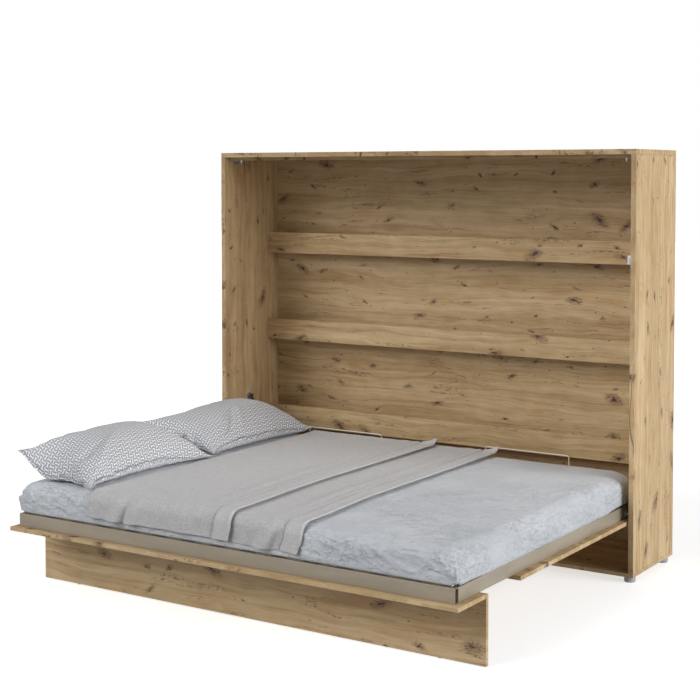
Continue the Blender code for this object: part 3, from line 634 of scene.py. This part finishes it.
def over_the_edge(length, gap):
    """Where a point lies that is this far along a throw, from its back edge over the front.

    Returns Y, Z, the outward direction's Y and Z, and how far the point is past the flat top.
    """
    radius = EDGE_RADIUS[1] + gap
    centre_y, centre_z = FRONT_Y + EDGE_RADIUS[1], TOP_Z - EDGE_RADIUS[1]
    past = length - (THROW_BACK - centre_y)
    angle = np.clip(past / radius, 0.0, math.pi / 2)
    hang = np.maximum(past - radius * math.pi / 2, 0.0)
    y = np.where(past < 0, THROW_BACK - length, centre_y - radius * np.sin(angle))
    z = centre_z + radius * np.cos(angle) - hang
    return y, z, -np.sin(angle), np.cos(angle), past


def make_throw(name, node, gap, left, right, drop, folds, long_waves, seed):
    """A linen throw laid over the mattress, its end hanging in front.

    left and right give the edges' X for each share of the length, and drop the hanging end's lowest Z.
    folds gives a push outwards and a slide along X from X, the way past the flat top and the points.
    long_waves are (distance from the right edge, width, height) of waves that run along the throw.
    """
    turn = (EDGE_RADIUS[1] + gap) * math.pi / 2
    length = THROW_BACK - FRONT_Y - EDGE_RADIUS[1] + turn + TOP_Z - EDGE_RADIUS[1] - drop
    fine = np.array([0.0, 0.0015, 0.004, 0.008, 0.014, 0.020, 0.026])
    top_end, bend_start, last = 1.42, 1.4255, length - 0.031
    rows = np.concatenate([fine, np.linspace(0.036, top_end, 172),
                           np.linspace(bend_start, last, round((last - bend_start) / 0.0048)),
                           length - fine[::-1]])
    width = right(0.0) - left(0.0)
    seam = np.array([0.0065, 0.0035, 0.0015, 0.0, -0.0015, -0.0035, -0.0065])
    sewn, clear = width - THROW_HEM, 0.012
    columns = np.concatenate([fine, np.linspace(0.032, sewn - clear, round(width / 0.0062)),
                              sewn - seam, np.linspace(sewn + clear, width - 0.032, 8),
                              width - fine[::-1]]) / width
    share, across = (grid.ravel() for grid in np.meshgrid(rows / length, columns, indexing="ij"))
    x_low, x_high = left(share), right(share)
    x = x_low + (x_high - x_low) * across
    y, z, out_y, out_z, past = over_the_edge(share * length, gap)
    base = np.stack([x, y, z], axis=1)

    # The right edge has a broad hem that stands up. The other edges are rolled narrow.
    from_right = (1 - across) * width
    from_edge = np.minimum(across * width, (1 - share) * length)
    hem = 0.0052 * (1 - ease(from_right, THROW_HEM - 0.004, THROW_HEM + 0.002))
    stitch = -0.0034 * bell(from_right, THROW_HEM + 0.003, 0.0050)
    rolled = 0.0058 * bell(from_right, 0.010, 0.011) + 0.0014 * bell(from_edge, 0.004, 0.005)
    lying = 1 - ease(past, -0.02, 0.06)
    ripple = (0.0013 * creases(base, (0.10, 0.24, 1.0), seed, 3)
              + 0.0007 * creases(base, (0.030, 0.050, 1.0), seed + 1, 2)) * lying
    waves = sum(height * bell(from_right, middle, spread) for middle, spread, height in long_waves)
    waves = waves * (0.75 + 0.35 * noise(base, (1.0, 0.45, 1.0), seed + 2)) * (0.35 + 0.65 * lying)
    push, slide = folds(x, past, base)
    push = np.maximum(push + hem + stitch + rolled + ripple + waves, 0.0)
    curl = bell(share * length, 0.0, 0.020) * (0.005 + 0.016 * bell(from_right, 0.0, 0.045))
    points = np.stack([x + slide, y + push * out_y, z + push * out_z + curl], axis=1)

    grid = np.arange(len(rows) * len(columns)).reshape(len(rows), len(columns))
    quads = np.stack([grid[:-1, :-1], grid[1:, :-1], grid[1:, 1:], grid[:-1, 1:]], axis=-1)
    flat = np.stack([across * width, share * length], axis=1)
    throw = add_mesh(name, points, quads.reshape(-1, 4), linen(f"linen_{name}", width), flat)
    add_modifier(throw, "SOLIDIFY", thickness=0.0022, offset=0.0)
    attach(throw, "bed")
    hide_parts(node)


def upper_folds(x, past, base):
    """The upper throw: two soft folds with a valley between them, waves and a lifted left corner."""
    loose = ease(past, 0.000, 0.120)
    lean = x + 0.30 * (past - 0.10)
    fold = 0.0160 * bell(lean, -0.490, 0.027) - 0.0075 * bell(lean, -0.440, 0.014)
    fold += 0.0140 * bell(lean, -0.400, 0.026)
    waves = 0.0034 * np.sin(2 * math.pi * (x + 0.3 * past) / 0.17) * ease(x, -0.33, -0.22)
    waves += 0.0024 * noise(base, (0.060, 1.0, 0.09), 71, 2)
    corner = 0.0042 * bell(x, -0.615, 0.030)
    push = loose * (0.0050 + fold + waves + corner)
    slide = loose * (0.008 * bell(lean, -0.468, 0.020) - 0.006 * bell(lean, -0.418, 0.018))
    return push, slide


def lower_folds(x, past, base):
    """The under throw, where the upper one leaves it bare: a full fold between two smaller ones."""
    loose = ease(past, 0.000, 0.120)
    lean = x + 0.50 * (past - 0.10)
    fold = 0.0230 * bell(lean, 0.222, 0.030) - 0.0020 * bell(lean, 0.282, 0.022)
    fold += 0.0060 * bell(lean, 0.140, 0.026) + 0.0080 * bell(x, 0.352, 0.030)
    waves = 0.0022 * noise(base, (0.045, 1.0, 0.09), 81, 2)
    uncovered = ease(x, 0.10, 0.16)
    push = loose * (0.0012 + fold + waves) * uncovered
    slide = loose * uncovered * (0.012 * bell(lean, 0.232, 0.028) - 0.010 * bell(lean, 0.286, 0.030))
    return push, slide


def make_throws():
    """The under throw, and the upper one that lies over its left part."""
    make_throw("throw_lower", "cloth_lower", gap=0.0018, left=lambda s: -0.610,
               right=lambda s: 0.361 + 0.034 * ease(s, 0.60, 0.93) - 0.020 * ease(s, 0.965, 1.0),
               drop=0.3380, folds=lower_folds,
               long_waves=((0.100, 0.018, 0.0050), (0.150, 0.026, 0.0050)), seed=91)
    make_throw("throw_upper", "cloth_upper", gap=0.0062, left=lambda s: -0.640 + 0.018 * s,
               right=lambda s: 0.044 + 0.034 * ease(s, 0.55, 0.95) - 0.010 * ease(s, 0.965, 1.0),
               drop=0.3440, folds=upper_folds,
               long_waves=((0.104, 0.018, 0.0060), (0.165, 0.026, 0.0050)), seed=95)


# ---------------------------------------------------------------- pillows

PILLOW_FLAT = (0.80, 0.47)
FLANGE = 0.013
HALF_SEAM = 0.0013
INFLATE_FRAMES = 20


def blown_up(points, quads, seed):
    """The points of a closed flat case after Cloth has blown it up."""
    start = points.copy()
    start[:, 2] += 0.0012 * noise(start, 0.045, seed, 2)
    case = add_mesh("case_to_inflate", start, quads, None)
    case.modifiers.new("cloth", "CLOTH")
    settings = case.modifiers["cloth"].settings
    settings.quality = 5
    settings.mass = 0.22
    settings.tension_stiffness = settings.compression_stiffness = 18.0
    settings.shear_stiffness = 8.0
    settings.bending_stiffness = 0.12
    settings.use_pressure = True
    settings.uniform_pressure_force = 4.0
    settings.effector_weights.gravity = 0.0
    case.modifiers["cloth"].point_cache.frame_end = INFLATE_FRAMES
    for number in range(1, INFLATE_FRAMES + 1):
        SCENE.frame_set(number)
    shape = case.evaluated_get(bpy.context.evaluated_depsgraph_get()).data
    final = np.empty(len(shape.vertices) * 3, np.float32)
    shape.vertices.foreach_get("co", final)
    SCENE.frame_set(1)
    bpy.data.objects.remove(case)
    return final.reshape(-1, 3).astype(float)


def case_with_flange(seed):
    """A filled pillowcase about its centre, with a flat rim sewn round its seam.

    Returns its points and quads, which points are above, the case's grid of indices, and for each
    point of the rim the seam point it is sewn to and how far out it lies on the flat cloth.
    """
    length, width = PILLOW_FLAT
    us = np.linspace(-length / 2, length / 2, 97)
    vs = np.linspace(-width / 2, width / 2, 57)
    points, quads, index = box_grid(us, vs, np.array([-0.0015, 0.0015]))
    shape = blown_up(points, quads, seed)

    last_u, last_v = len(us) - 1, len(vs) - 1
    ring = ([(i, 0) for i in range(last_u)] + [(last_u, j) for j in range(last_v)]
            + [(i, last_v) for i in range(last_u, 0, -1)] + [(0, j) for j in range(last_v, 0, -1)])
    under, over = (np.array([index[i, j, k] for i, j in ring]) for k in (0, 1))
    way = np.array([[(i == last_u) - (i == 0), (j == last_v) - (j == 0)] for i, j in ring], float)
    seam = (shape[under] + shape[over]) / 2
    half = np.array([0.0, 0.0, HALF_SEAM])
    shape[under], shape[over] = seam - half, seam + half

    wave = 0.0012 * noise(seam, 0.075, seed + 5, 2)
    outer = seam + np.column_stack([way * FLANGE, wave])
    count = len(points)
    low_rim, high_rim = count + np.arange(len(ring)), count + len(ring) + np.arange(len(ring))
    shape = np.concatenate([shape, outer - half, outer + half])

    def band(start, end):
        """The quads between two rings of points."""
        return np.stack([start, np.roll(start, -1), np.roll(end, -1), end], axis=1)

    upper = np.concatenate([points[:, 2] > 0, np.zeros(len(ring), bool), np.ones(len(ring), bool)])
    in_side = np.isin(quads, under).any(axis=1) & np.isin(quads, over).any(axis=1)
    quads = np.concatenate([quads[~in_side], band(over, high_rim), band(high_rim, low_rim),
                            band(low_rim, under)])
    return shape, quads, upper, index, np.concatenate([under, over]), np.tile(way * FLANGE, (2, 1))


def flat_places(points, index):
    """Each case point's place on flat cloth: how far it is from the middle lines over the surface."""
    flat = np.zeros((len(points), 2))
    for side in (0, 1):
        grid = index[:, :, side]
        for axis in (0, 1):
            steps = np.linalg.norm(np.diff(points[grid], axis=axis), axis=2)
            start = np.zeros_like(np.take(steps, [0], axis=axis))
            run = np.concatenate([start, np.cumsum(steps, axis=axis)], axis=axis)
            flat[grid, axis] = run - np.take(run, [run.shape[axis] // 2], axis=axis)
    return flat


def pressed_fold(x, y, path, depth, width):
    """A fold pressed into a pillow along a path of (X, Y) shares; a negative depth makes it a ridge."""
    total = np.zeros(len(x))
    spans = list(zip(path[:-1], path[1:]))
    for number, (start, end) in enumerate(spans):
        run = np.array(end) - start
        place = np.clip(((x - start[0]) * run[0] + (y - start[1]) * run[1]) / (run @ run), 0.0, 1.0)
        off_x, off_y = x - start[0] - place * run[0], y - start[1] - place * run[1]
        off = np.hypot(off_x * PILLOW_FLAT[1], off_y * PILLOW_FLAT[0])
        so_far = (number + place) / len(spans)
        strength = np.sin(np.pi * np.clip(0.12 + 0.88 * so_far, 0, 1)) ** 0.7
        total = np.maximum(total, strength * np.exp(-(off / width) ** 1.4))
    return depth * total


def make_pillow(name, node, seed, grow, lean, seam_height, crest, folds, material):
    """A pillow on the mattress, fitted to its CAD node grown by grow: (lower X, lower Y, upper Y).

    Its near outer corner reaches out further by lean. seam_height gives the seam's height over the
    plan, and crest the tent that the top is drawn towards. folds are (path, depth, width) of folds.
    """
    low, high = (np.array(corner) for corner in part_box(node))
    low[:2] -= grow[:2]
    high[1] += grow[2]
    shape, quads, upper, index, sewn_to, rim_out = case_with_flange(seed)
    u, v, w = shape.T
    room = high - low
    share_x, share_y = (v - v.min()) / (v.max() - v.min()), (u - u.min()) / (u.max() - u.min())
    x, y = low[0] + share_x * room[0], low[1] + share_y * room[1]
    y = y - lean * (1 - share_x) * (1 - share_y)
    inside = np.minimum(ease(share_x, 0.02, 0.15) * (1 - ease(share_x, 0.80, 0.96)),
                        ease(share_y, 0.02, 0.14) * (1 - ease(share_y, 0.88, 0.98)))
    top = 0.52 * w + 0.48 * inside * crest(share_x, share_y)
    for path, depth, width in folds:
        top = top - inside ** 0.5 * pressed_fold(share_x, share_y, path, depth, width)
    full = 0.70 * (1 - 0.85 * bell(share_x, 0.0, 0.22) * bell(share_y, 0.0, 0.25))
    w = np.where(upper, np.maximum(top, HALF_SEAM), np.minimum(full * w, -HALF_SEAM))
    z = seam_height(share_x, share_y) + w
    # What would sink into the mattress spreads out flat on it.
    soft = 0.012
    z = np.where(z < soft, soft * np.exp(np.minimum(z - soft, 0.0) / soft), z)
    # Above the bend the height levels off towards the node's own.
    bend, most = 0.75 * room[2], room[2] - 0.001
    z = np.where(z > bend, bend + (most - bend) * np.tanh((z - bend) / (most - bend)), z)
    points = np.stack([x, y, low[2] + 0.0012 + z], axis=1)
    flat = flat_places(points, index)
    flat[-len(sewn_to):] = flat[sewn_to] + rim_out
    pillow = add_mesh(name, points, quads, material, flat)
    add_modifier(pillow, "SUBSURF", levels=1, render_levels=1)
    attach(pillow, "bed")
    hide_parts(node)
    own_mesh(pillow)


def tent(x, y, peak, height):
    """A tent's height over the plan: its ridges run from the peak down to the inner corners."""
    inner, outer = (x - peak[0]) / (1 - peak[0]), 0.3 * (peak[0] - x) / peak[0]
    far, near = (y - peak[1]) / (1 - peak[1]), (peak[1] - y) / peak[1]
    return height * (1 - np.maximum(np.maximum(inner, outer), np.maximum(far, near)))


def near_seam(x, y):
    """Low along the bed, propped up on the outer side, and the near outer corner in the air."""
    propped = 0.076 * (1 - x) ** 1.6 * ease(y, 0.0, 0.30) * (1 - 0.5 * ease(y, 0.75, 1.0))
    return 0.003 + propped + 0.114 * bell(x, 0.0, 0.17 + 0.2 * y) * bell(y, 0.0, 0.30)


def far_seam(x, y):
    """Propped up on the outer side too, and its near end lies over the near pillow's far one."""
    return (0.003 + 0.076 * (1 - x) ** 1.4 + 0.036 * bell(x, 0.0, 0.45) * bell(y, 0.0, 0.20)
            + 0.020 * bell(y, 0.0, 0.10) + 0.022 * bell(x, 1.0, 0.25) * bell(y, 1.0, 0.10))


def make_pillows():
    cotton = printed_cotton("printed_cotton")
    tent_height = 0.23
    make_pillow("pillow_near", "pillow_front", seed=3, grow=(0.024, 0.020, 0.035), lean=0.0,
                seam_height=near_seam, crest=lambda x, y: tent(x, y, (0.38, 0.58), tent_height),
                folds=((((0.42, 0.54), (0.72, 0.27), (0.97, 0.05)), -0.014, 0.016),
                       (((0.60, 0.30), (0.64, 0.17), (0.50, 0.08)), 0.016, 0.014),
                       (((0.88, 0.30), (0.84, 0.20), (0.80, 0.10)), 0.012, 0.009)), material=cotton)
    make_pillow("pillow_far", "pillow_back", seed=8, grow=(0.016, 0.034, 0.012), lean=0.060,
                seam_height=far_seam, crest=lambda x, y: tent(x, y, (0.35, 0.62), tent_height),
                folds=((((0.40, 0.60), (0.82, 0.40), (0.97, 0.10)), -0.010, 0.015),
                       (((0.56, 0.46), (0.76, 0.30), (0.90, 0.08)), 0.022, 0.014)), material=cotton)


# ---------------------------------------------------------------- studio

def make_floor():
    s = Shader("studio_floor")
    cloud = s.noise(s.place, 0.8, detail=3.0)
    s.set(base_color=s.mix(s.fit(cloud, 0.3, 0.7), (0.84, 0.84, 0.84), (0.87, 0.87, 0.87)),
          roughness=s.fit(cloud, 0.3, 0.7, 0.80, 0.86), emission_color=(1.0, 1.0, 1.0, 1.0),
          emission_strength=0.60, specular_ior_level=0.0)
    half = 30.0
    corners = np.array([(-half, -half, 0), (half, -half, 0), (half, half, 0), (-half, half, 0)])
    floor = add_mesh("studio_floor", corners.astype(float), np.array([[0, 1, 2, 3]]), s.material)
    # The floor takes shadows but throws no light back, so the fronts aren't lit from below.
    floor.visible_diffuse = False


def aim(thing, at):
    thing.rotation_euler = (Vector(at) - thing.location).to_track_quat("-Z", "Y").to_euler()


def add_light(name, place, at, spread, strength):
    """A sun is the same everywhere on the floor; its spread, in degrees, makes it as soft as a softbox."""
    light = bpy.data.lights.new(name, "SUN")
    light.angle, light.energy = math.radians(spread), strength
    thing = bpy.data.objects.new(name, light)
    thing.location = place
    aim(thing, at)
    SCENE.collection.objects.link(thing)


def make_lights():
    """A white room, a soft low key from the right, and a weaker light from the front and the left."""
    world = bpy.data.worlds.new("studio")
    world.use_nodes = True
    nodes, links = world.node_tree.nodes, world.node_tree.links
    background = nodes["Background"]
    ambient, seen = 0.23, 1.0
    background.inputs["Color"].default_value = (1.0, 1.0, 1.0, 1.0)
    path = nodes.new("ShaderNodeLightPath")
    strength = nodes.new("ShaderNodeMapRange")
    strength.inputs["To Min"].default_value = ambient
    strength.inputs["To Max"].default_value = seen
    links.new(path.outputs["Is Camera Ray"], strength.inputs["Value"])
    links.new(strength.outputs[0], background.inputs["Strength"])
    SCENE.world = world
    middle = (0.0, 0.0, 0.5)
    add_light("key", (5.0, 0.25, 1.7), middle, 44.0, 2.75)
    add_light("fill", (-2.8, -4.4, 3.7), middle, 40.0, 1.62)


def make_camera():
    camera = bpy.data.cameras.new("camera")
    camera.sensor_width, camera.lens, camera.shift_y = 36.0, 75.516, -0.16
    camera.clip_end = 100.0
    thing = bpy.data.objects.new("camera", camera)
    thing.location = (3.3375, -5.1493, 1.6838)
    pitch_down, yaw = 2.466, 32.963
    thing.rotation_euler = (math.radians(90.0 - pitch_down), 0.0, math.radians(yaw))
    SCENE.collection.objects.link(thing)
    SCENE.camera = thing


make_camera()
make_lights()
make_floor()
paint_cad_nodes()
make_mattress()
make_throws()
make_pillows()
SCENE.view_settings.view_transform = "Standard"
